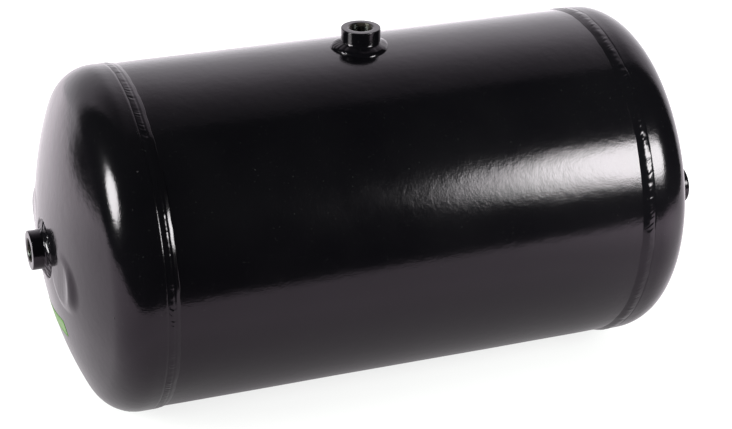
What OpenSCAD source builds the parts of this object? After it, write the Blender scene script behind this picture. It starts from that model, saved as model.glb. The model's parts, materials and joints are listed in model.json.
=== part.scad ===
// Air receiver tank: a rolled shell, two dished heads, three threaded ports and the welds that join them.
// The tank lies along X, and +Z points out of the top port.
// The origin is on the tank's axis, halfway between the heads.
// All sizes are millimetres.

/* [Vessel] */
// Outside diameter of the shell
tank_d = 310; // [304:1:316]
// Length of the rolled shell sheet
shell_length = 436; // [380:2:520]
// Thickness of the sheet in the shell and the heads
wall = 3; // [2.5:0.1:3.5]

/* [Heads] */
// Radius of the large dished crown
crown_r = 320; // [310:1:330]
// Radius of the knuckle between the crown and the skirt
knuckle_r = 37; // [34:1:40]
// How far the head's skirt stands proud of the shell
head_step = 1.2; // [0.8:0.1:1.6]
// Length of the straight skirt between the weld and the knuckle
skirt = 8.2; // [6:0.2:12]
// Length of the joggled lip that slides into the shell
lip = 13; // [10:1:16]

/* [Port seats] */
// Depth of the flat seats below the crown's highest point
seat_drop = 4; // [3.5:0.1:4.5]
// Radius of the seat at the centre of each head
centre_seat_r = 25; // [25:0.1:25.5]
// Radius of the two side seats of each head
side_seat_r = 26.5; // [26.4:0.1:27]
// Distance from the tank's axis to a side seat
side_seat_offset = 51; // [50:0.2:51]
// Turn of the left head's row of seats about the tank's axis, in degrees
left_head_turn = 8; // [0:1:20]
// Turn of the right head's row of seats about the tank's axis, in degrees
right_head_turn = 7; // [0:1:20]

/* [Ports] */
// Outside diameter of a port boss
boss_d = 35.5; // [33:0.5:36]
// Length of a port boss
boss_length = 22; // [21:0.5:24]
// Height of the top port above the shell
top_rise = 17.5; // [15:0.5:18]
// Height of an end port above its seat
end_rise = 16.5; // [15:0.5:17]
// Core diameter of the M22 x 1.5 internal thread
thread_core_d = 20.376; // [20.3:0.01:20.4]
// Diameter of the countersink at a port's mouth
mouth_d = 22.8; // [22.4:0.1:23.4]

/* [Welds] */
// Width of the bead that joins a head to the shell
girth_bead_w = 10.6; // [9.6:0.2:11.6]
// Height of that bead above the line between its toes
girth_bead_h = 1.2; // [0.8:0.1:1.4]
// Width of the lengthwise bead that closes the shell
seam_bead_w = 7; // [5:0.5:9]
// Turn of the lengthwise bead from the top port, about the tank's axis, in degrees
seam_turn = 115; // [90:1:170]
// Height of the fillet weld along a port boss
fillet_h = 6.2; // [5:0.1:7]
// Width of the fillet weld over the sheet
fillet_w = 6.6; // [5.6:0.1:6.8]

/* [Label] */
// Length of the label below the port of the left head
label_l = 77; // [70:1:84]
// Height of the label
label_h = 16.5; // [14:0.5:22]
// Distance from the tank's axis down to the middle of the label
label_offset = 69.2; // [66:0.2:72]
// Tilt of the label, in degrees
label_tilt = 9; // [0:1:15]

/* [Hidden] */
$fn = 96;
crown_fn = 720;
knuckle_fn = 180;
cutter_fn = 480;
sheet_colour = [0.03, 0.03, 0.035];
bead_colour = [0.035, 0.035, 0.04];
boss_colour = [0.04, 0.04, 0.045];
label_colour = [0.55, 0.75, 0.35];

shell_r = tank_d / 2;
bore_r = shell_r - wall;
head_r = shell_r + head_step;
sheet_end = shell_length / 2;
bead_start = sheet_end - 3;
bead_end = bead_start + girth_bead_w;
knuckle_x = bead_end + skirt;
// Clearance between a piece and the one it is welded into
fit_gap = 0.05;
// Clearance between a head's lip and the shell's bore
lip_gap = 0.1;
// Gap between the shell's end and the slope of a head's lip, filled by the girth weld
root_gap = 1.4;
// Gap between the rolled sheet's edges, filled by the lengthwise weld
seam_gap = 1.6;
seam_bead_h = 0.9;
label_t = 0.3;
boss_r = boss_d / 2;
// Chamfer on the rims of a boss
boss_edge = 0.8;
// How far a fillet weld bulges past the line between its toes
fillet_bulge = 0.6;
// How far the top port's fillet is carried down, to meet the round shell
fillet_foot = 4;
// Slope of a raised seat's side, in degrees from the tank's axis
seat_draft = 30;
// Height of the solid block that a seat is shaped from
seat_block = 16;
// Length that joined shapes share
overlap = 2;
// Shift of the lip's slope from its outer to its inner face
lip_shift = 1.5;

// Depth of the dish from its knuckle line to the crown's highest point
dish_depth = crown_r - sqrt(pow(crown_r - knuckle_r, 2) - pow(head_r - knuckle_r, 2));
pole_x = knuckle_x + dish_depth;
seat_x = pole_x - seat_drop;

// Places a shape drawn about +Z on the end of the tank: side is -1 for the left end and 1 for the right end
module on_end(side) {
    rotate([0, side * 90, 0]) children();
}

// Turns a shape about the tank's axis, from +Z towards +Y
module about_axis(turn) {
    rotate([-turn, 0, 0]) children();
}

// Turns a head's own shape about its axis, so that its row of seats lies along the tank's Y,
// and then by the head's turn
module head_turned(side, turn) {
    about_axis(-turn) on_end(side) rotate([0, 0, 90]) children();
}

// Half the outline of the dish, with its skirt reaching down by depth; grow moves the surface outwards
module dish_outline(grow, depth) {
    ring_r = head_r - knuckle_r;
    crown_y = dish_depth - crown_r;
    tilt = atan2(ring_r, -crown_y);
    reach = 3 * knuckle_r;
    reach_x = ring_r + reach * sin(tilt);
    reach_y = reach * cos(tilt);
    intersection() {
        translate([0, crown_y]) circle(r = crown_r + grow, $fn = crown_fn);
        polygon([[0, 0], [ring_r, 0], [reach_x, reach_y], [0, reach_y]]);
    }
    intersection() {
        translate([ring_r, 0]) circle(r = knuckle_r + grow, $fn = knuckle_fn);
        polygon([[ring_r, 0], [ring_r + reach, 0], [ring_r + reach, reach_y], [reach_x, reach_y]]);
    }
    translate([0, -depth]) square([head_r + grow, depth]);
}

// The places of a head's three seats, in the head's own plane, with each seat's radius
function seats() = [
    [0, centre_seat_r],
    [side_seat_offset, side_seat_r],
    [-side_seat_offset, side_seat_r],
];

// The space inside one face of a head, with its flat seats; grow moves the face outwards
module head_form(grow, depth) {
    seat_z = seat_x - knuckle_x + grow;
    spread = seat_block * tan(seat_draft);
    difference() {
        union() {
            rotate_extrude() dish_outline(grow, depth);
            for (seat = [seats()[1], seats()[2]])
                translate([seat[0], 0, seat_z - seat_block])
                    cylinder(r1 = seat[1] + grow + spread, r2 = seat[1] + grow, h = seat_block);
        }
        for (seat = seats())
            translate([seat[0], 0, seat_z])
                cylinder(r = seat[1] - grow, h = seat_block);
    }
}

// The joggled lip: the skirt steps in by one sheet and reaches into the shell
module joggled_lip() {
    step_in = bore_r - lip_gap;
    slope_start = bead_end - knuckle_x;
    slope_end = sheet_end + root_gap - knuckle_x;
    lip_end = sheet_end - lip - knuckle_x;
    rotate_extrude() polygon([
        [head_r, slope_start + overlap],
        [head_r, slope_start],
        [step_in, slope_end],
        [step_in, lip_end],
        [step_in - wall, lip_end],
        [step_in - wall, slope_end + lip_shift],
        [head_r - wall, slope_start + lip_shift],
        [head_r - wall, slope_start + overlap],
    ]);
}

// A dished head with its lip, drawn about +Z with its knuckle line at zero; port is the place of its port
module head(port) {
    skirt_depth = skirt - overlap;
    difference() {
        union() {
            difference() {
                head_form(0, skirt_depth);
                head_form(-wall, skirt_depth + overlap / 2);
            }
            joggled_lip();
        }
        translate([port, 0, 0]) cylinder(r = boss_r + fit_gap, h = dish_depth + wall);
    }
}

module shell() {
    color(sheet_colour)
    difference() {
        rotate([0, 90, 0]) cylinder(r = shell_r, h = shell_length, center = true);
        rotate([0, 90, 0]) cylinder(r = bore_r, h = shell_length + overlap, center = true);
        cylinder(r = boss_r + fit_gap, h = shell_r + wall);
        about_axis(seam_turn)
            translate([-shell_length, -seam_gap / 2, 0]) cube([2 * shell_length, seam_gap, 2 * shell_r]);
    }
}

module placed_head(side, turn, port) {
    color(sheet_colour)
    head_turned(side, turn) translate([0, 0, knuckle_x]) head(port);
}

// The bead between a head and the shell, from its root in the groove to its crown
module girth_weld(side) {
    steps = 8;
    slope_end = sheet_end + root_gap;
    rise = head_r - shell_r;
    crown = [
        for (i = [0 : steps])
            let (s = i / steps)
            [shell_r + rise * s + girth_bead_h * sin(180 * s), bead_start + girth_bead_w * s]
    ];
    root = [
        [bore_r - lip_gap + fit_gap, slope_end],
        [bore_r, sheet_end],
        [shell_r, sheet_end],
    ];
    color(bead_colour)
    on_end(side) rotate_extrude() polygon(concat(crown, root));
}

// The bead that closes the rolled sheet, flush where the heads' lips and the girth beads meet it
module shell_seam_weld() {
    inside_end = sheet_end - lip - overlap / 2;
    outside_end = bead_start - overlap / 4;
    fill_w = seam_gap - 2 * fit_gap;
    color(bead_colour)
    about_axis(seam_turn) {
        intersection() {
            difference() {
                rotate([0, 90, 0]) cylinder(r = shell_r, h = shell_length, center = true);
                rotate([0, 90, 0]) cylinder(r = bore_r, h = shell_length + overlap, center = true);
            }
            translate([-shell_length, -fill_w / 2, 0]) cube([2 * shell_length, fill_w, 2 * shell_r]);
        }
        seam_crown(outside_end, shell_r, 1);
        seam_crown(inside_end, bore_r, -1);
    }
}

// A low rounded ridge along the seam; side is 1 on the outside of the sheet and -1 on the inside
module seam_crown(end, face_r, side) {
    half = seam_bead_w / 2;
    arc_r = (half * half + seam_bead_h * seam_bead_h) / (2 * seam_bead_h);
    difference() {
        intersection() {
            translate([-end, 0, face_r + side * (seam_bead_h - arc_r)])
                rotate([0, 90, 0]) cylinder(r = arc_r, h = 2 * end);
            if (side < 0)
                rotate([0, 90, 0]) cylinder(r = face_r, h = 2 * end, center = true);
        }
        if (side > 0)
            rotate([0, 90, 0]) cylinder(r = face_r, h = 2 * end + overlap, center = true);
    }
}

// A port boss about +Z, with its mouth at zero and its body below
module boss() {
    core_r = thread_core_d / 2;
    mouth_r = mouth_d / 2;
    sink = mouth_r - core_r;
    rotate_extrude() polygon([
        [mouth_r, 0],
        [boss_r - boss_edge, 0],
        [boss_r, -boss_edge],
        [boss_r, boss_edge - boss_length],
        [boss_r - boss_edge, -boss_length],
        [mouth_r, -boss_length],
        [core_r, sink - boss_length],
        [core_r, -sink],
    ]);
}

module placed_boss() {
    color(boss_colour)
    boss();
}

// The ring of a fillet weld about +Z, standing on zero and reaching down by depth below it
module fillet_ring(depth) {
    steps = 6;
    inner_r = boss_r + fit_gap;
    face = [
        for (i = [0 : steps])
            let (s = i / steps)
            [
                inner_r + fillet_w * s + fillet_bulge * sin(180 * s),
                fillet_h * (1 - s) + fillet_bulge * sin(180 * s),
            ]
    ];
    slope = depth * fillet_w / fillet_h;
    foot = depth > 0 ? [[inner_r + fillet_w + slope, -depth], [inner_r, -depth]] : [[inner_r, 0]];
    rotate_extrude() polygon(concat(face, foot));
}

module top_port_weld() {
    color(bead_colour)
    difference() {
        translate([0, 0, shell_r]) fillet_ring(fillet_foot);
        rotate([0, 90, 0]) cylinder(r = shell_r, h = tank_d, center = true, $fn = cutter_fn);
    }
}

// Puts a shape on a head's seat, at the given distance along the row of seats
module on_seat(side, turn, port) {
    head_turned(side, turn) translate([port, 0, seat_x]) children();
}

module port_weld(side, turn, port) {
    color(bead_colour)
    on_seat(side, turn, port) fillet_ring(0);
}

// A thin plain label that follows the crown of the left head
module label() {
    color(label_colour)
    intersection() {
        translate([crown_r - pole_x, 0, 0])
        difference() {
            sphere(r = crown_r + label_t, $fn = crown_fn);
            sphere(r = crown_r, $fn = crown_fn);
        }
        translate([-pole_x - wall, 0, -label_offset])
            about_axis(label_tilt)
                translate([0, -label_l / 2, -label_h / 2]) cube([pole_x, label_l, label_h]);
    }
}

shell();
placed_head(-1, left_head_turn, 0);  // left_head
placed_head(1, right_head_turn, -side_seat_offset);  // right_head
girth_weld(-1);  // left_girth_weld
girth_weld(1);  // right_girth_weld
shell_seam_weld();
translate([0, 0, shell_r + top_rise]) placed_boss();  // top_port_boss
on_seat(-1, left_head_turn, 0) translate([0, 0, end_rise]) placed_boss();  // left_port_boss
on_seat(1, right_head_turn, -side_seat_offset) translate([0, 0, end_rise]) placed_boss();  // right_port_boss
top_port_weld();
port_weld(-1, left_head_turn, 0);  // left_port_weld
port_weld(1, right_head_turn, -side_seat_offset);  // right_port_weld
label();
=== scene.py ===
"""The looks of the air receiver tank: gloss black paint over sheet, beads and bosses, in a plain studio."""
import json
import math

import bpy
import bmesh
import numpy as np
from mathutils import Matrix, Vector


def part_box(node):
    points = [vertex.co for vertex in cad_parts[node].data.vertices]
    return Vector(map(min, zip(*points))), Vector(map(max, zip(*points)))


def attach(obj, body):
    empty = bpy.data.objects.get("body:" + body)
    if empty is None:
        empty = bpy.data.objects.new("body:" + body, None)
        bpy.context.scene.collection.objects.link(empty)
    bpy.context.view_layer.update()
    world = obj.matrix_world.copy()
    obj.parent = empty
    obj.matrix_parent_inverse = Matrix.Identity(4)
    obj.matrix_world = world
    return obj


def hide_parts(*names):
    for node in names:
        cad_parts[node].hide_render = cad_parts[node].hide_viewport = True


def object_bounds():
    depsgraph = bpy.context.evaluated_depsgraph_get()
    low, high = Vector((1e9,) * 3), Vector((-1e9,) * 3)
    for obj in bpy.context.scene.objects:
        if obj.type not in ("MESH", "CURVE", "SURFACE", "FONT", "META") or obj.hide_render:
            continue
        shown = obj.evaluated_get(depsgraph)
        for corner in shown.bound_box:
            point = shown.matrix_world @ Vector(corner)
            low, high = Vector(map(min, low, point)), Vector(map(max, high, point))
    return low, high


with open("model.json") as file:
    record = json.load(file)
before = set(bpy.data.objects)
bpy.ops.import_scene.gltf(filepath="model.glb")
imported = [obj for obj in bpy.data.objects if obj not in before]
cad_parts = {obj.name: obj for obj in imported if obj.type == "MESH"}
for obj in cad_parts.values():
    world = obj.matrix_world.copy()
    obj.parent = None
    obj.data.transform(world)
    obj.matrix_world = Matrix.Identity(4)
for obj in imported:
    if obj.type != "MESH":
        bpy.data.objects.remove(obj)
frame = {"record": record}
cad_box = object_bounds()
MM = 0.001
TAU = 2 * math.pi

# ---------------------------------------------------------------- sizes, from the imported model, in millimetres

shell_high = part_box("shell")[1]
bead_low, bead_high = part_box("right_girth_weld")
head_low, head_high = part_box("right_head")
boss_low, boss_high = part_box("top_port_boss")
mounts = {m["name"]: m for m in frame["record"]["mounts"]}
right_y, right_z = (c / MM for c in mounts["right_port"]["pos_m"][1:])

SHELL_R = shell_high.z / MM
SHEET_END = shell_high.x / MM
BEAD_START, BEAD_END = bead_low.x / MM, bead_high.x / MM
HEAD_R = head_high.z / MM
LIP_X = head_low.x / MM
SEAT_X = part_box("right_port_weld")[0].x / MM
CORE_R = mounts["top_port"]["dims"]["r_mm"]
BOSS_R = boss_high.x / MM
BOSS_TOP = boss_high.z / MM
BOSS_LEN = BOSS_TOP - boss_low.z / MM
END_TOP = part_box("right_port_boss")[1].x / MM
SEAT_OFFSET = math.hypot(right_y, right_z)
FLOOR_Z = cad_box[0].z / MM - 0.2
RISE_TOP = BOSS_TOP - SHELL_R
RISE_END = END_TOP - SEAT_X

# the sheet and the dish, which no box gives
WALL = 3.0
LIP_GAP = 0.1
CROWN_R = 320.0
KNUCKLE_R = 37.0
SEAT_DROP = 4.0
RING_R = HEAD_R - KNUCKLE_R
POLE_X = SEAT_X + SEAT_DROP
CROWN_Y = math.sqrt((CROWN_R - KNUCKLE_R) ** 2 - RING_R ** 2)
KNUCKLE_X = POLE_X - (CROWN_R - CROWN_Y)
TILT = math.atan2(RING_R, CROWN_Y)
CROWN_EDGE = CROWN_R * math.sin(TILT)

# the seats: how far each row is turned about the axis, and their radii
RIGHT_TURN = math.atan2(right_z, right_y) - math.pi
LEFT_TURN = math.radians(8.0)
SIDE_SEAT_R = 24.6
CENTRE_SEAT_R = 25.2

# a side seat's face leans outward and then levels out, measured outward from its middle
LEFT_LEAN = math.tan(math.radians(6.0))
LEAN_FROM, LEAN_BLEND = -8.0, 2.0
LEVEL_FROM, LEVEL_BLEND, LEVEL_SHARE = 11.0, 2.5, 1.95
REAR_SEAT_DROP = 1.3
# flanks are slopes, and blends are the width over which two surfaces run together
SIDE_FLANK, SIDE_TOP_BLEND, SIDE_FOOT_BLEND = 1.15, 5.0, 4.5
CENTRE_FLANK, CENTRE_BLEND, CENTRE_INSET = 1.5, 1.6, 0.4

LABEL_LEN, LABEL_HIGH = 77.0, 16.5
LABEL_DROP = 69.2
LABEL_TILT = math.radians(9.0)
# the label follows the same unevenness as the head that it lies on
LEFT_SEED, RIGHT_SEED = 21, 25

THREAD_PITCH, THREAD_DEPTH = 1.5, 0.81
BOSS_GAP = 0.05


# ---------------------------------------------------------------- mesh helpers

def waves(p, wavelength, seed, count=7):
    """Smooth even noise, about -1 to 1, at points p: a sum of plane waves near one wavelength."""
    rng = np.random.default_rng(seed)
    out = np.zeros(p.shape[:-1])
    for _ in range(count):
        d = rng.normal(size=3)
        d /= np.linalg.norm(d)
        k = TAU / (wavelength * rng.uniform(0.75, 1.35))
        out += np.sin(p @ (d * k) + rng.uniform(0, TAU))
    return out / math.sqrt(count)


def ring_noise(angle, cycles, seed):
    """Smooth noise around a ring, about -1 to 1, that joins up with itself."""
    rng = np.random.default_rng(seed)
    out = np.zeros_like(angle)
    weight = 0
    for c in cycles:
        a = rng.uniform(0.5, 1.0)
        out += a * np.sin(c * angle + rng.uniform(0, TAU))
        weight += a
    return out / (0.6 * weight)


def grid(name, rows, close_u=True, close_v=False):
    """A mesh of quads through rows of points, in millimetres."""
    nv, nu = rows.shape[:2]
    idx = np.arange(nv * nu).reshape(nv, nu)
    a = np.concatenate([idx, idx[:1]]) if close_v else idx
    if close_u:
        a = np.concatenate([a, a[:, :1]], axis=1)
    q = np.stack([a[:-1, :-1], a[:-1, 1:], a[1:, 1:], a[1:, :-1]], axis=-1).reshape(-1, 4)
    mesh = bpy.data.meshes.new(name)
    mesh.from_pydata((rows.reshape(-1, 3) * MM).tolist(), [], q.tolist())
    mesh.update()
    obj = bpy.data.objects.new(name, mesh)
    bpy.context.scene.collection.objects.link(obj)
    smooth(obj)
    return obj


def smooth(obj):
    obj.data.polygons.foreach_set("use_smooth", np.ones(len(obj.data.polygons), bool))
    obj.data.update()


def outward(obj):
    """Makes a closed mesh's normals point out."""
    bm = bmesh.new()
    bm.from_mesh(obj.data)
    bmesh.ops.recalc_face_normals(bm, faces=bm.faces)
    bm.to_mesh(obj.data)
    bm.free()
    obj.data.update()


def close_ends(obj):
    """Fills the open ends of a mesh, and makes its normals point out."""
    bm = bmesh.new()
    bm.from_mesh(obj.data)
    bmesh.ops.holes_fill(bm, edges=[e for e in bm.edges if e.is_boundary], sides=0)
    bmesh.ops.recalc_face_normals(bm, faces=bm.faces)
    bm.to_mesh(obj.data)
    bm.free()
    smooth(obj)


def ring(x, r, ang):
    """A ring of points about the tank's axis, at x, with one radius or one for each angle."""
    return np.stack([np.broadcast_to(x, ang.shape), r * np.sin(ang), r * np.cos(ang)], 1)


def turned(r, z, ang):
    """A ring of points about the local Z axis, at height z."""
    return np.stack([r * np.cos(ang), r * np.sin(ang), np.broadcast_to(z, ang.shape)], 1)


def cut_hole(obj, matrix, radius, low, high):
    """Cuts a round hole about the local Z of matrix, from low to high, in millimetres."""
    bm = bmesh.new()
    bmesh.ops.create_cone(bm, cap_ends=True, segments=96, radius1=radius * MM, radius2=radius * MM,
                          depth=(high - low) * MM)
    bmesh.ops.translate(bm, verts=bm.verts, vec=(0, 0, (high + low) / 2 * MM))
    bmesh.ops.transform(bm, matrix=matrix, verts=bm.verts)
    mesh = bpy.data.meshes.new("cutter")
    bm.to_mesh(mesh)
    bm.free()
    cutter = bpy.data.objects.new("cutter", mesh)
    bpy.context.scene.collection.objects.link(cutter)
    mod = obj.modifiers.new("hole", "BOOLEAN")
    mod.operation = "DIFFERENCE"
    mod.solver = "EXACT"
    mod.object = cutter
    bpy.context.view_layer.update()
    dg = bpy.context.evaluated_depsgraph_get()
    done = bpy.data.meshes.new_from_object(obj.evaluated_get(dg))
    obj.modifiers.clear()
    old = obj.data
    obj.data = done
    bpy.data.meshes.remove(old)
    bpy.data.objects.remove(cutter)
    smooth(obj)


def soft_curve(points, count, blur):
    """A smooth curve near a run of points, at even steps, ending where they end. Blur is in fine steps."""
    steps = 400
    p = np.array(points, float)
    along = np.concatenate([[0], np.cumsum(np.hypot(*np.diff(p, axis=0).T))])
    fine = np.linspace(0, along[-1], steps + 1)
    window = np.hanning(2 * blur + 1)
    window /= window.sum()
    out = []
    for i in (0, 1):
        line = np.interp(fine, along, p[:, i])
        line = np.pad(line, blur, mode="reflect", reflect_type="odd")
        out.append(np.convolve(line, window, mode="valid"))
    return np.stack(out, 1)[np.linspace(0, steps, count).round().astype(int)]


def smin(a, b, k):
    """The lower of two surfaces, run together over a width of about k."""
    h = np.clip(0.5 + 0.5 * (b - a) / k, 0, 1)
    return b * (1 - h) + a * h - k * h * (1 - h)


def smax(a, b, k):
    return -smin(-a, -b, k)


def soft_ramp(x, k):
    """Zero below 0 and x above it, with the corner rounded over about k."""
    return k * np.logaddexp(0, x / k)


# ---------------------------------------------------------------- placing

TOP_PLACE = Matrix.Translation((0, 0, BOSS_TOP * MM))
LEFT_PLACE = Matrix.Translation((-END_TOP * MM, 0, 0)) @ Matrix.Rotation(-math.pi / 2, 4, "Y")
RIGHT_PLACE = Matrix.Translation((END_TOP * MM, right_y * MM, right_z * MM))
RIGHT_PLACE = RIGHT_PLACE @ Matrix.Rotation(math.pi / 2, 4, "Y")


def place(obj, matrix):
    obj.data.transform(matrix)
    obj.data.update()


# ---------------------------------------------------------------- shell

def make_shell():
    """The rolled sheet: not quite round, and drawn in a little beside the girth welds."""
    draw_in, draw_reach = 0.22, 13
    ang = np.linspace(0, TAU, 512, endpoint=False)
    rows = []
    for x in np.linspace(-SHEET_END, SHEET_END, 150):
        p = ring(x, SHELL_R, ang)
        r = SHELL_R + 0.10 * waves(p, 190, 11) + 0.035 * waves(p, 62, 12)
        r -= draw_in * math.exp(-((abs(x) - BEAD_START) / draw_reach) ** 2)
        rows.append(ring(x, r, ang))
    for x in np.linspace(SHEET_END, -SHEET_END, 24):
        rows.append(ring(x, SHELL_R - WALL, ang))
    obj = grid("shell_sheet", np.array(rows), close_v=True)
    outward(obj)
    cut_hole(obj, Matrix.Identity(4), BOSS_R + BOSS_GAP, SHELL_R - 14, SHELL_R + 5)
    return obj


# ---------------------------------------------------------------- heads

def dish_height(y, z, turn, lean=0.0, grow=0.0):
    """How far the head's face reaches along the axis at (y, z): the dish with its flat seats.

    The side seats fall away from the middle by lean, and level out at their outer edges.
    """
    r2 = y * y + z * z
    base = POLE_X - CROWN_R + np.sqrt((CROWN_R + grow) ** 2 - r2)
    seat = SEAT_X + grow
    for side in (-1, 1):
        cy, cz = side * SEAT_OFFSET * math.cos(turn), side * SEAT_OFFSET * math.sin(turn)
        rho = np.hypot(y - cy, z - cz)
        out = (y * cy + z * cz) / SEAT_OFFSET
        past = out - SEAT_OFFSET
        sag = soft_ramp(past - LEAN_FROM, LEAN_BLEND) - LEVEL_SHARE * soft_ramp(past - LEVEL_FROM, LEVEL_BLEND)
        face = seat - lean * sag
        if lean:
            # the die left faint lines across the face
            face += 0.035 * np.sin(out * 1.15 + 0.6 * np.sin(out * 0.37))
            # and the rear seat is pressed a little lower
            face -= REAR_SEAT_DROP if side > 0 else 0
        pad = smin(face, face - (rho - (SIDE_SEAT_R + grow)) * SIDE_FLANK, SIDE_TOP_BLEND)
        base = smax(base, pad, SIDE_FOOT_BLEND)
    rho = np.hypot(y, z)
    press = seat + np.maximum(rho - (CENTRE_SEAT_R - CENTRE_INSET - grow), 0) * CENTRE_FLANK
    return smin(base, press, CENTRE_BLEND)


def uneven(p, seed):
    """Pressing leaves the dish very slightly uneven."""
    return 0.09 * waves(p, 120, seed) + 0.03 * waves(p, 45, seed + 1)


def head_rows(grow, ang, turn, lean):
    """Rings of points from the middle of the dish to the end of its knuckle, grown outward by grow."""
    fine_to = 92
    radii = np.concatenate([(0.6, 3, 6), np.arange(9, fine_to, 1.25), np.linspace(fine_to + 1, CROWN_EDGE, 16)])
    rows = []
    for r in radii:
        spread_r = r * (CROWN_R + grow) / CROWN_R if r > fine_to else r
        y, z = spread_r * np.sin(ang), spread_r * np.cos(ang)
        rows.append(np.stack([dish_height(y, z, turn, lean, grow), y, z], 1))
    for a in np.linspace(TILT, math.pi / 2, 18)[1:]:
        rad = RING_R + (KNUCKLE_R + grow) * math.sin(a)
        rows.append(ring(KNUCKLE_X + (KNUCKLE_R + grow) * math.cos(a), rad, ang))
    return rows


def make_head(name, side, turn, lean, seed, port, dents=()):
    """A pressed head with its skirt and the lip that slides into the shell. Dents are (y, z, depth)."""
    dent_spread = 3.4
    ang = np.linspace(0, TAU, 384, endpoint=False)
    outer = np.array(head_rows(0.0, ang, turn, lean))
    outer[..., 0] += uneven(outer, seed)
    for y, z, deep in dents:
        away = (outer[..., 1] - y) ** 2 + (outer[..., 2] - z) ** 2
        outer[..., 0] -= deep * np.exp(-away / (2 * dent_spread ** 2))
    inner = head_rows(-WALL, ang, turn, lean)
    lip_r = SHELL_R - WALL - LIP_GAP
    skirt = [ring(x, HEAD_R, ang) for x in np.linspace(KNUCKLE_X, BEAD_END, 6)[1:]]
    lip = [ring(x, r, ang) for x, r in (
        (SHEET_END + 1.4, lip_r),
        (LIP_X, lip_r),
        (LIP_X, lip_r - WALL),
        (SHEET_END + 2.9, lip_r - WALL),
        (BEAD_END + 1.5, HEAD_R - WALL),
    )]
    rows = np.array(list(outer) + skirt + lip + inner[::-1])
    rows[..., 0] *= side
    obj = grid(name, rows)
    close_ends(obj)
    cut_hole(obj, port, BOSS_R + BOSS_GAP, -BOSS_LEN - 30, 5)
    return obj


# ---------------------------------------------------------------- beads

def ripple(phase):
    """Rounded ridges with sharp valleys, -1 to 0.6, leaning one way."""
    f = phase - np.floor(phase)
    skew = np.where(f < 0.62, f / 0.62 * 0.5, 0.5 + (f - 0.62) / 0.38 * 0.5)
    return np.abs(np.sin(math.pi * skew)) * 1.6 - 1.0


# A girth bead's section, in millimetres: along from the sheet's side to the head's side, and up from the sheet.
LEFT_BEAD = (
    (0, -0.5), (0.3, 0.0), (0.8, 0.08), (2.0, 0.42), (3.3, 0.76), (4.2, 0.82), (5.1, 0.86), (5.8, 1.04),
    (6.6, 1.20), (8.4, 1.22), (10.0, 1.16), (10.8, 0.98), (11.3, 1.00), (11.9, 1.22), (12.2, 0.7),
)
RIGHT_BEAD = (
    (0, -0.4), (0.3, -0.12), (0.6, -0.03), (1.4, 0.16), (3.2, 0.70), (5.0, 1.16), (6.2, 1.40), (7.2, 1.48),
    (8.6, 1.45), (10.0, 1.36), (11.1, 1.26), (11.5, 1.16), (11.9, 1.18), (12.2, 0.7),
)


def make_girth_weld(name, side, seed, section, regular, drops):
    """A bead round the tank: its section, the ripples that the torch left across it, and the spatter beside it.

    A regular bead is rippled all round. On the other kind the ripples only show here and there.
    """
    if regular:
        pitch, ripple_low, ripple_more, crest, lumpy = 4.2, 0.02, 0.11, 0.60, 0.13
    else:
        pitch, ripple_low, ripple_more, crest, lumpy = 4.8, 0.012, 0.16, 0.62, 0.09
    ang = np.linspace(0, TAU, 2400, endpoint=False)
    wobble = ring_noise(ang, (3, 7, 12, 19, 31), seed)
    speed = ring_noise(ang, (5, 9, 17, 26), seed + 1)
    phase = round(TAU * SHELL_R / pitch) * ang / TAU + 0.9 * speed
    gate = np.clip(0.5 + 0.9 * ring_noise(ang, (23, 37, 61, 83), seed + 5), 0, 1) ** 2
    depth = ripple_low + ripple_more * gate
    length = section[-1][0]
    start = (BEAD_START + BEAD_END - length) / 2
    rows = []
    for along, above in soft_curve(section, 40, 6):
        t = along / length
        edge = 1 - abs(2 * t - 1)
        drift = 0.34 * ring_noise(ang, (11, 23, 41, 60), seed + 3 + (t > 0.5)) * (1 - edge)
        x = start + along + drift + 0.15 * wobble
        middle = math.exp(-((t - crest) / 0.22) ** 2) * min(1, edge * 5)
        bow = -1.7 * t if regular else 1.3 * (1 - (2 * t - 1) ** 2)
        lump = lumpy * middle * ring_noise(ang, (47, 71, 113, 160), seed + 9)
        swell = 1 + 0.10 * wobble * min(1, edge * 4)
        rows.append(ring(side * x, SHELL_R + above * swell + middle * depth * ripple(phase + bow) + lump, ang))
    for x in (SHEET_END + 1.6, SHEET_END + 0.1):
        rows.append(ring(side * x, SHELL_R - WALL, ang))
    obj = grid(name, np.array(rows), close_v=True)
    outward(obj)
    rng = np.random.default_rng(seed + 20)
    spatter = list(drops)
    for _ in range(16):
        spatter.append((rng.uniform(62, 90), rng.uniform(-180, 180), rng.uniform(0.25, 0.5)))
    add_spatter(obj, side, spatter, rng)
    return obj


def add_spatter(obj, side, drops, rng):
    """Drops of spatter under the paint, on a head's knuckle: angle from the axis, turn about it, and radius."""
    bm = bmesh.new()
    bm.from_mesh(obj.data)
    for slope, turn, size in drops:
        a, b = math.radians(slope), math.radians(turn)
        out = Vector((side * math.cos(a), math.sin(a) * math.sin(b), math.sin(a) * math.cos(b)))
        rad = RING_R + KNUCKLE_R * math.sin(a)
        centre = Vector((side * (KNUCKLE_X + KNUCKLE_R * math.cos(a)), rad * math.sin(b), rad * math.cos(b)))
        made = bmesh.ops.create_icosphere(bm, subdivisions=2, radius=size)
        squash = out.to_track_quat("Z", "Y").to_matrix() @ Matrix.Diagonal((1, rng.uniform(0.8, 1.2), 0.55))
        for vert in made["verts"]:
            vert.co = (centre + squash @ vert.co) * MM
    bm.to_mesh(obj.data)
    bm.free()
    smooth(obj)


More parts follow.
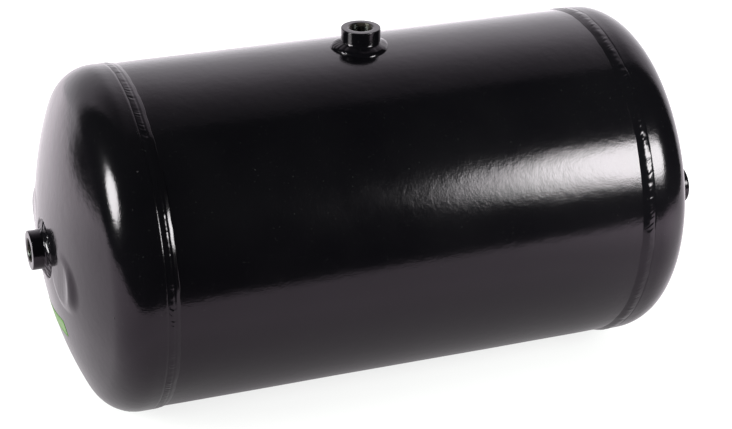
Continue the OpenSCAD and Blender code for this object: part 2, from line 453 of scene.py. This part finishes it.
def make_seam_weld():
    """The lengthwise bead, which fades out at both ends and fills the gap between the sheet's edges."""
    turn, half_wide, high, sunk = math.radians(115), 3.5, 1.0, 0.12
    end = BEAD_START - 0.6
    xs = np.linspace(-end, end, 960)
    p = np.stack([xs, 0 * xs, 0 * xs], 1)
    drift = 0.35 * waves(p, 60, 31) + 0.2 * waves(p, 17, 32)
    phase = xs / 4.4 + 0.25 * waves(p, 33, 33)
    fade = np.clip((end - np.abs(xs)) / 4, 0, 1) ** 0.5
    rows = []
    for t in np.linspace(0, 1, 15):
        edge = 1 - abs(2 * t - 1)
        s = (2 * t - 1) * half_wide * (1 + 0.06 * drift) + drift
        h = ((1 - (2 * t - 1) ** 2) * high + min(1, edge * 3) * 0.17 * ripple(phase + edge)) * fade - sunk
        a = turn + s / SHELL_R
        rows.append(np.stack([xs, (SHELL_R + h) * np.sin(a), (SHELL_R + h) * np.cos(a)], 1))
    for s in (1.2, -1.2):
        a = turn + s / SHELL_R
        r = SHELL_R - WALL + 0.4
        rows.append(np.stack([xs, 0 * xs + r * math.sin(a), 0 * xs + r * math.cos(a)], 1))
    obj = grid("seam_bead", np.array(rows), close_u=False, close_v=True)
    close_ends(obj)
    return obj


# A port fillet's section: out along the sheet and up the boss, as shares of its two legs.
FILLET = (
    (0, 1.0), (0.03, 0.86), (0.10, 0.74), (0.24, 0.66), (0.48, 0.55), (0.72, 0.42), (0.88, 0.28), (0.97, 0.12),
    (1.0, -0.05),
)


def make_port_weld(name, matrix, rise, seed, on_shell, legs, lumps, rough_side):
    """A fillet around a boss, in the boss's frame: its mouth at zero, the sheet at -rise.

    Legs are (up the boss, out along the sheet) and lumps are (height, length). The run is rippled at the angle
    rough_side, and flowed smooth elsewhere.
    """
    steps, ripples, sunk, root = 33, 30, 0.3, 0.6
    ang = np.linspace(0, TAU, 480, endpoint=False)
    phase = ripples * ang / TAU + 0.35 * ring_noise(ang, (2, 3, 5), seed)
    uneven_legs = 1 - 0.12 * np.cos(ang)
    leg_h = legs[0] * uneven_legs * (1 + 0.05 * ring_noise(ang, (2, 5, 9), seed + 1))
    leg_w = legs[1] * uneven_legs * (1 + 0.05 * ring_noise(ang, (3, 4, 8), seed + 2))
    coarse = 0.03 + 0.15 * np.clip(np.cos(ang - rough_side), 0, 1) ** 0.7
    inner = BOSS_R - 0.1

    def sheet(r):
        y = r * np.sin(ang)
        return (np.sqrt(SHELL_R ** 2 - y * y) - SHELL_R if on_shell else 0 * y) - rise

    rows = []
    for i, (out, up) in enumerate(soft_curve(FILLET, steps, 14)):
        mask = min(1, 4 * i / steps, 4 * (steps - 1 - i) / steps)
        dr, dz = leg_w * out, leg_h * up
        bumps = lumps[0] * waves(turned(inner + dr, dz, ang), lumps[1], seed + 4)
        swell = mask * (coarse * ripple(phase + 0.9 * mask) + bumps)
        r = inner + dr + 0.6 * swell
        rows.append(turned(r, sheet(r) + dz + 0.75 * swell - (sunk if i == steps - 1 else 0), ang))
    for r in (inner + leg_w * 0.5, inner + 0 * ang):
        rows.append(turned(r, sheet(r) - root, ang))
    obj = grid(name, np.array(rows), close_v=True)
    outward(obj)
    place(obj, matrix)
    return obj


# ---------------------------------------------------------------- bosses

def make_boss(name, matrix, paint, thread):
    """A turned boss with its mouth at zero: the outside in paint, and the thread's helix in bare steel."""
    edge, step = 0.7, 0.125
    mouth = CORE_R + 1.25
    ang = np.linspace(0, TAU, 144, endpoint=False)
    line = [(mouth, -BOSS_LEN), (BOSS_R - edge, -BOSS_LEN), (BOSS_R, edge - BOSS_LEN)]
    line += [(BOSS_R, z) for z in np.linspace(edge - BOSS_LEN, -edge, 12)[1:]]
    line += [(BOSS_R - edge + edge * math.cos(a), -edge + edge * math.sin(a))
             for a in np.linspace(0, math.pi / 2, 6)[1:]]
    line += [(r, 0) for r in np.linspace(BOSS_R - edge, mouth + 0.25, 5)[1:]]
    line += [(mouth + 0.07, -0.07)]
    rows = [turned(r, z, ang) for r, z in line]
    painted = len(rows)
    for z in np.arange(-0.25, -BOSS_LEN + 0.2, -step):
        f = z / THREAD_PITCH - ang / TAU
        f = f - np.floor(f)
        groove = np.clip((1 - np.abs(2 * f - 1)) * 1.45 - 0.25, 0, 1)
        # the countersinks at both ends cut through the thread
        r = np.maximum(CORE_R + THREAD_DEPTH * groove, mouth + z)
        r = np.maximum(r, mouth - (z + BOSS_LEN))
        rows.append(turned(r, z, ang))
    obj = grid(name, np.array(rows), close_v=True)
    outward(obj)
    faces = len(obj.data.polygons)
    material = np.zeros(faces, int)
    material[painted * len(ang):faces - len(ang)] = 1
    obj.data.materials.append(paint)
    obj.data.materials.append(thread)
    obj.data.polygons.foreach_set("material_index", material)
    place(obj, matrix)
    return obj


# ---------------------------------------------------------------- label

def make_label():
    """A thin film with round corners, lying on the left head's dish."""
    inset, corner, film = 0.3, 2.5, 0.2
    half_l, half_h = LABEL_LEN / 2 - inset, LABEL_HIGH / 2 - inset
    straight = half_h - corner
    levels = np.concatenate([
        np.linspace(-half_h, -straight, 7),
        np.linspace(-straight, straight, 12)[1:-1],
        np.linspace(straight, half_h, 7),
    ])
    rows = []
    for v in levels:
        reach = max(0.0, abs(v) - straight)
        half = half_l - corner + math.sqrt(max(corner ** 2 - reach ** 2, 0))
        u = np.linspace(-half, half, 60)
        y = u * math.cos(LABEL_TILT) + v * math.sin(LABEL_TILT)
        z = v * math.cos(LABEL_TILT) - u * math.sin(LABEL_TILT) - LABEL_DROP
        x = dish_height(y, z, LEFT_TURN, LEFT_LEAN)
        x = x + uneven(np.stack([x, y, z], 1), LEFT_SEED)
        rows.append(np.stack([-(x + film), y, z], 1))
    obj = grid("label_film", np.array(rows), close_u=False)
    bm = bmesh.new()
    bm.from_mesh(obj.data)
    bmesh.ops.recalc_face_normals(bm, faces=bm.faces)
    if sum(f.normal.x * f.calc_area() for f in bm.faces) > 0:
        bmesh.ops.reverse_faces(bm, faces=bm.faces)
    whole = bmesh.ops.extrude_face_region(bm, geom=bm.faces[:])
    back = [v for v in whole["geom"] if isinstance(v, bmesh.types.BMVert)]
    bmesh.ops.translate(bm, verts=back, vec=(film * MM, 0, 0))
    bmesh.ops.recalc_face_normals(bm, faces=bm.faces)
    bm.to_mesh(obj.data)
    bm.free()
    smooth(obj)
    return obj


# ---------------------------------------------------------------- materials

# Linear colours. The coat reflects slightly purple head-on, and without colour at a glance.
COAT_TINT = (1.0, 0.86, 0.99, 1)
PAINT_DARK, PAINT_LIGHT = (0.0024, 0.0021, 0.0030), (0.0036, 0.0032, 0.0042)
DUST = (0.08, 0.08, 0.08)
STEEL_DARK, STEEL_BARE = (0.005, 0.0045, 0.0045), (0.050, 0.038, 0.032)
RIM_DARK, RIM_LIGHT = (0.07, 0.16, 0.035), (0.10, 0.21, 0.05)
PANEL_DARK, PANEL_LIGHT = (0.12, 0.19, 0.08), (0.17, 0.24, 0.12)
PAPER_DARK, PAPER_LIGHT = (0.16, 0.155, 0.16), (0.18, 0.175, 0.18)
PAPER_REFLECTED, PAPER_SEEN = (1.02, 0.94, 1.01), (1.0, 1.0, 1.0)
PANEL_RIM = 0.003


def nodes_of(name):
    mat = bpy.data.materials.new(name)
    mat.use_nodes = True
    tree = mat.node_tree
    tree.nodes.clear()
    out = tree.nodes.new("ShaderNodeOutputMaterial")
    shader = tree.nodes.new("ShaderNodeBsdfPrincipled")
    tree.links.new(shader.outputs[0], out.inputs[0])
    return mat, tree, shader


def add(tree, kind, inputs=(), **settings):
    node = tree.nodes.new("ShaderNode" + kind)
    for key, value in settings.items():
        setattr(node, key, value)
    for key, value in dict(inputs).items():
        socket = node.inputs[key]
        if isinstance(value, bpy.types.NodeSocket):
            tree.links.new(value, socket)
        else:
            socket.default_value = value
    return node


def noise(tree, where, scale, detail=2.0, rough=0.5):
    inputs = {"Vector": where, "Scale": scale, "Detail": detail, "Roughness": rough}
    return add(tree, "TexNoise", inputs).outputs["Fac"]


def spread(tree, value, low, high, out_low, out_high, **settings):
    """Maps low to high onto out_low to out_high, and holds the ends."""
    inputs = {"Value": value, "From Min": low, "From Max": high, "To Min": out_low, "To Max": out_high}
    return add(tree, "MapRange", inputs, **settings).outputs[0]


def calc(tree, op, a, b=0.0):
    return add(tree, "Math", {0: a, 1: b}, operation=op).outputs[0]


def blend_colour(tree, fac, a, b):
    node = add(tree, "Mix", {"Factor": fac}, data_type="RGBA")
    for socket, value in ((node.inputs[6], a), (node.inputs[7], b)):
        if isinstance(value, bpy.types.NodeSocket):
            tree.links.new(value, socket)
        else:
            socket.default_value = (*value, 1)
    return node.outputs[2]


def black_paint(name, rough, grain, wave):
    """Gloss powder coat: deep black, orange peel in two sizes, a little uneven in gloss, with fine dust.

    Grain and wave are the depths of the fine and the coarse orange peel, in metres.
    """
    mat, tree, shader = nodes_of(name)
    where = add(tree, "TexCoord").outputs["Object"]
    cloud = spread(tree, noise(tree, where, 9, 3), 0.35, 0.65, 0, 1)
    colour = blend_colour(tree, cloud, PAINT_DARK, PAINT_LIGHT)
    speck = spread(tree, noise(tree, where, 900, 1), 0.76, 0.82, 0, 0.6)
    colour = blend_colour(tree, speck, colour, DUST)
    tree.links.new(colour, shader.inputs["Base Color"])
    gloss = spread(tree, noise(tree, where, 38, 4, 0.6), 0.3, 0.7, rough - 0.015, rough + 0.02)
    tree.links.new(gloss, shader.inputs["Roughness"])
    shader.inputs["IOR"].default_value = 1.5
    shader.inputs["Specular IOR Level"].default_value = 0.29
    shader.inputs["Specular Tint"].default_value = COAT_TINT
    coarse = add(tree, "Bump", {"Distance": wave, "Height": noise(tree, where, 110, 2, 0.65), "Strength": 1.0})
    fine = add(tree, "Bump", {"Distance": grain, "Height": noise(tree, where, 800, 1), "Strength": 1.0,
                              "Normal": coarse.outputs[0]})
    tree.links.new(fine.outputs[0], shader.inputs["Normal"])
    return mat


def thread_steel():
    """Phosphated steel in the threads: dark, with brown bare patches along the crests."""
    mat, tree, shader = nodes_of("thread_steel")
    where = add(tree, "TexCoord").outputs["Object"]
    patch = spread(tree, noise(tree, where, 160, 3, 0.6), 0.42, 0.62, 0, 1)
    colour = blend_colour(tree, patch, STEEL_DARK, STEEL_BARE)
    tree.links.new(colour, shader.inputs["Base Color"])
    tree.links.new(spread(tree, patch, 0, 1, 0.22, 0.36), shader.inputs["Roughness"])
    tree.links.new(spread(tree, patch, 0, 1, 0.0, 0.6), shader.inputs["Metallic"])
    bump = add(tree, "Bump", {"Strength": 0.6, "Distance": 0.00004, "Height": noise(tree, where, 900, 2)})
    tree.links.new(bump.outputs[0], shader.inputs["Normal"])
    return mat


def label_film():
    """Green film with a paler panel, faintly creased."""
    mat, tree, shader = nodes_of("label_film")
    where = add(tree, "TexCoord").outputs["Object"]
    middle = (0, 0, -LABEL_DROP * MM)
    centre = add(tree, "VectorMath", {0: where, 1: middle}, operation="SUBTRACT").outputs[0]
    panel = None
    for axis, size in (((0, math.cos(LABEL_TILT), -math.sin(LABEL_TILT)), LABEL_LEN),
                       ((0, math.sin(LABEL_TILT), math.cos(LABEL_TILT)), LABEL_HIGH)):
        off = add(tree, "VectorMath", {0: centre, 1: axis}, operation="DOT_PRODUCT").outputs["Value"]
        rim = size / 2 * MM - PANEL_RIM
        inside = spread(tree, calc(tree, "ABSOLUTE", off), rim, rim - 0.0003, 0, 1)
        panel = inside if panel is None else calc(tree, "MULTIPLY", panel, inside)
    fade = noise(tree, where, 120, 3)
    green = blend_colour(tree, fade, RIM_DARK, RIM_LIGHT)
    pale = blend_colour(tree, fade, PANEL_DARK, PANEL_LIGHT)
    tree.links.new(blend_colour(tree, panel, green, pale), shader.inputs["Base Color"])
    tree.links.new(spread(tree, fade, 0.3, 0.7, 0.50, 0.62), shader.inputs["Roughness"])
    shader.inputs["Specular IOR Level"].default_value = 0.25
    bump = add(tree, "Bump", {"Strength": 0.5, "Distance": 0.0001, "Height": noise(tree, where, 260, 2)})
    tree.links.new(bump.outputs[0], shader.inputs["Normal"])
    return mat


def floor_paper():
    """Glowing paper, painted brighter behind and to the sides, with a painted shadow where the tank stands.

    The camera sees it as nearly plain white. What is described here is what the paint reflects.
    """
    smooth_step = {"interpolation_type": "SMOOTHSTEP"}
    mat, tree, shader = nodes_of("floor_paper")
    where = add(tree, "TexCoord").outputs["Object"]
    fade = noise(tree, where, 3, 3)
    tree.links.new(blend_colour(tree, fade, PAPER_DARK, PAPER_LIGHT), shader.inputs["Base Color"])
    shader.inputs["Roughness"].default_value = 0.9
    shader.inputs["Specular IOR Level"].default_value = 0.1
    across, depth, _ = add(tree, "SeparateXYZ", {"Vector": where}).outputs
    glow = spread(tree, depth, 0.1, 0.7, 0.92, 1.3, **smooth_step)
    # distance past the tank's ends, so that the painted shadow below follows its length
    beyond = spread(tree, calc(tree, "ABSOLUTE", across), 0.19, 1.19, 0.0, 1.7)
    sides = spread(tree, beyond, 0.2, 0.8, 1.0, 1.4, **smooth_step)
    glow = calc(tree, "MULTIPLY", glow, sides)
    # a painted pool of light on the paper under the right softbox
    under_lamp = (0.62, -0.52, FLOOR_Z * MM)
    near_lamp = add(tree, "VectorMath", {0: where, 1: under_lamp}, operation="DISTANCE").outputs["Value"]
    glow = calc(tree, "ADD", glow, spread(tree, near_lamp, 0.1, 0.42, 0.9, 0.0, **smooth_step))
    flat = add(tree, "CombineXYZ", {"X": beyond, "Y": depth}).outputs[0]
    away = add(tree, "VectorMath", {0: flat}, operation="LENGTH").outputs["Value"]
    # painted shadow: the glow fades toward the tank's foot
    shade = spread(tree, away, 0.0, 0.30, 0.10, 1.0)
    seen = add(tree, "LightPath").outputs["Is Camera Ray"]
    tint = blend_colour(tree, seen, PAPER_REFLECTED, PAPER_SEEN)
    tree.links.new(tint, shader.inputs["Emission Color"])
    # the camera sees the painted shadow lifted, so only faintly
    lifted = spread(tree, shade, 0.0, 1.0, 0.82, 1.12)
    shade = add(tree, "Mix", {0: seen, 2: shade, 3: lifted}, data_type="FLOAT").outputs[0]
    tree.links.new(calc(tree, "MULTIPLY", glow, shade), shader.inputs["Emission Strength"])
    return mat


# ---------------------------------------------------------------- camera, lights, floor

AZ, EL, ROLL = math.radians(-20.4), math.radians(25.43), math.radians(0.6)
DISTANCE = 1.873
SENSOR, LENS = 36, 99.07
SHIFT = (0.0096, -0.0179)
SOFTBOX_TINT = (0.985, 1.10, 0.985)
BACKDROP_TINT = (1.01, 0.975, 1.03, 1)

# azimuth and elevation in degrees, distance and radius in metres, height over width, radiance
LEFT_SOFTBOX = (-82.9, 23.5, 3.42, 0.732, 1.0, 34)
# the right one is brighter in its middle than at its rim, so it is three discs, one in front of the other
RIGHT_SOFTBOX = (
    (34.8, 21.4, 0.99, 0.224, 1.0, 7),
    (36.0, 21.4, 0.98, 0.182, 1.06, 12),
    (37.3, 21.4, 0.97, 0.128, 1.15, 18),
)

# the backdrop: the azimuth of its middle, half its width and half its soft edge, in degrees
BACKDROP_AZ, BACKDROP_HALF, BACKDROP_EDGE = 161.5, 55.5, 2.5
# where the lamp that lights it falls: azimuth and half width
HOT_AZ, HOT_HALF = 140, 36
LOW_EL, FADE_EL = 20, 31


def direction(az, el):
    """The unit vector toward an azimuth, which is 0 in front and grows to the right, and an elevation."""
    return Vector((math.sin(az) * math.cos(el), -math.cos(az) * math.cos(el), math.sin(el)))


def make_camera():
    data = bpy.data.cameras.new("camera")
    cam = bpy.data.objects.new("camera", data)
    bpy.context.scene.collection.objects.link(cam)
    back = direction(AZ, EL)
    right = (-back).cross(Vector((0, 0, 1))).normalized()
    up = right.cross(-back)
    rolled_right = right * math.cos(ROLL) + up * math.sin(ROLL)
    rolled_up = up * math.cos(ROLL) - right * math.sin(ROLL)
    matrix = Matrix((rolled_right, rolled_up, back)).transposed().to_4x4()
    matrix.translation = back * DISTANCE
    cam.matrix_world = matrix
    data.lens = LENS
    data.sensor_width = SENSOR
    data.shift_x, data.shift_y = SHIFT
    data.clip_start, data.clip_end = 0.05, 50
    bpy.context.scene.camera = cam


def softbox(name, az, el, dist, radius, tall, radiance):
    """An elliptical lamp that faces the origin."""
    data = bpy.data.lights.new(name, "AREA")
    data.shape = "ELLIPSE"
    data.size, data.size_y = 2 * radius, 2 * radius * tall
    data.energy = radiance * math.pi * math.pi * radius * radius * tall
    data.color = SOFTBOX_TINT
    obj = bpy.data.objects.new(name, data)
    bpy.context.scene.collection.objects.link(obj)
    d = direction(math.radians(az), math.radians(el))
    obj.location = d * dist
    obj.rotation_mode = "QUATERNION"
    obj.rotation_quaternion = d.to_track_quat("Z", "Y")
    obj.visible_camera = False


def make_world():
    """A white backdrop behind the tank and a dark room in front of it; seen directly it is plain white."""
    world = bpy.data.worlds.new("studio")
    bpy.context.scene.world = world
    world.use_nodes = True
    tree = world.node_tree
    tree.nodes.clear()
    out = tree.nodes.new("ShaderNodeOutputWorld")
    where = add(tree, "TexCoord").outputs["Generated"]
    x, y, z = add(tree, "SeparateXYZ", {"Vector": where}).outputs
    squares = calc(tree, "ADD", calc(tree, "MULTIPLY", x, x), calc(tree, "MULTIPLY", y, y))
    level_length = calc(tree, "MAXIMUM", calc(tree, "SQRT", squares), 0.001)

    def toward(azimuth):
        """The cosine of the angle, seen from above, between the ray and an azimuth in degrees."""
        a = math.radians(azimuth)
        across = calc(tree, "MULTIPLY", x, math.sin(a))
        along = calc(tree, "MULTIPLY", y, -math.cos(a))
        return calc(tree, "DIVIDE", calc(tree, "ADD", across, along), level_length)

    def cos(degrees):
        return math.cos(math.radians(degrees))

    low = math.sin(math.radians(LOW_EL))
    outer_edge, inner_edge = cos(BACKDROP_HALF + BACKDROP_EDGE), cos(BACKDROP_HALF - BACKDROP_EDGE)
    wide = spread(tree, toward(BACKDROP_AZ), outer_edge, inner_edge, 0, 1)
    # the backdrop is brightest low down, and where the lamp that lights it falls
    spot = spread(tree, toward(HOT_AZ), cos(HOT_HALF), 1, 0, 1)
    spot = calc(tree, "MULTIPLY", spot, spread(tree, z, 0, low, 0.2, 0.68))
    base = calc(tree, "MULTIPLY", spread(tree, z, 0, low, 1.3, 0.95), calc(tree, "ADD", spot, 0.9))
    high = spread(tree, z, math.sin(math.radians(FADE_EL)), 1.06, 1.0, 0.0, interpolation_type="SMOOTHSTEP")
    lit = calc(tree, "MULTIPLY", wide, calc(tree, "MULTIPLY", base, high))
    glow = calc(tree, "ADD", calc(tree, "MULTIPLY", lit, 1.2), 0.004)
    seen = add(tree, "LightPath").outputs["Is Camera Ray"]
    level = add(tree, "Mix", {0: seen, 2: glow, 3: 1.1}, data_type="FLOAT").outputs[0]
    back = add(tree, "Background", {"Color": BACKDROP_TINT, "Strength": level})
    tree.links.new(back.outputs[0], out.inputs[0])


def make_floor():
    """A sheet of paper under the tank, whose front edge runs askew and is cut away at the right."""
    left, right, rear = -1500, 1100, 2600

    def front(x):
        return -570 - 0.2 * min(max(x, -400), 400) - 0.7 * min(max(x - 400, 0), 300)

    rows = [[(x, front(x) + (rear - front(x)) * depth, FLOOR_Z) for x in np.linspace(left, right, 53)]
            for depth in np.linspace(0, 1, 65)]
    obj = grid("floor", np.array(rows, float), close_u=False)
    if obj.data.polygons[0].normal.z < 0:
        obj.data.flip_normals()
    obj.data.materials.append(floor_paper())


# ---------------------------------------------------------------- build

def finish_piece(obj, paint, node):
    if len(obj.data.materials) == 0:
        obj.data.materials.append(paint)
    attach(obj, "root")
    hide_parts(node)


make_camera()
make_world()
softbox("softbox_left", *LEFT_SOFTBOX)
for number, settings in enumerate(RIGHT_SOFTBOX):
    softbox("softbox_right_%d" % number, *settings)
make_floor()

sheet_paint = black_paint("sheet_paint", 0.13, 0.00006, 0.00013)
bead_paint = black_paint("bead_paint", 0.13, 0.00003, 0.00004)
boss_paint = black_paint("boss_paint", 0.15, 0.00003, 0.00004)
steel = thread_steel()

# soft dents in the left head: (y, z, depth), in millimetres
LEFT_DENTS = ((-52, 60, 0.09), (-83, 47, 0.08), (-120, 45, 0.09))
# spatter: degrees from the axis, degrees about it from the top toward the back, and radius in millimetres
LEFT_DROPS = ((26.8, -92.2, 0.9), (88.0, -44.0, 0.8), (72.6, -55.5, 0.6), (70.0, -76.0, 0.5))
RIGHT_DROPS = ((66.8, -47.0, 0.7),)

finish_piece(make_shell(), sheet_paint, "shell")
left_head = make_head("left_dished_head", -1, LEFT_TURN, LEFT_LEAN, LEFT_SEED, LEFT_PLACE, LEFT_DENTS)
finish_piece(left_head, sheet_paint, "left_head")
right_head = make_head("right_dished_head", 1, RIGHT_TURN, 0.0, RIGHT_SEED, RIGHT_PLACE)
finish_piece(right_head, sheet_paint, "right_head")
left_bead = make_girth_weld("left_girth_bead", -1, 41, LEFT_BEAD, False, LEFT_DROPS)
finish_piece(left_bead, bead_paint, "left_girth_weld")
right_bead = make_girth_weld("right_girth_bead", 1, 47, RIGHT_BEAD, True, RIGHT_DROPS)
finish_piece(right_bead, bead_paint, "right_girth_weld")
finish_piece(make_seam_weld(), bead_paint, "shell_seam_weld")

for part, matrix, rise, seed, on_shell, legs, lumps, rough_side in (
    ("top_port", TOP_PLACE, RISE_TOP, 3, True, (6.8, 8.2), (0.05, 7.5), math.pi),
    ("left_port", LEFT_PLACE, RISE_END, 5, False, (7.6, 8.8), (0.50, 5.0), 2.0),
    ("right_port", RIGHT_PLACE, RISE_END, 8, False, (6.4, 7.6), (0.12, 7.5), 0.0),
):
    boss = make_boss(part + "_threaded_boss", matrix, boss_paint, steel)
    finish_piece(boss, boss_paint, part + "_boss")
    fillet = make_port_weld(part + "_fillet", matrix, rise, seed, on_shell, legs, lumps, rough_side)
    finish_piece(fillet, bead_paint, part + "_weld")

finish_piece(make_label(), label_film(), "label")

bpy.context.scene.view_settings.view_transform = "Standard"
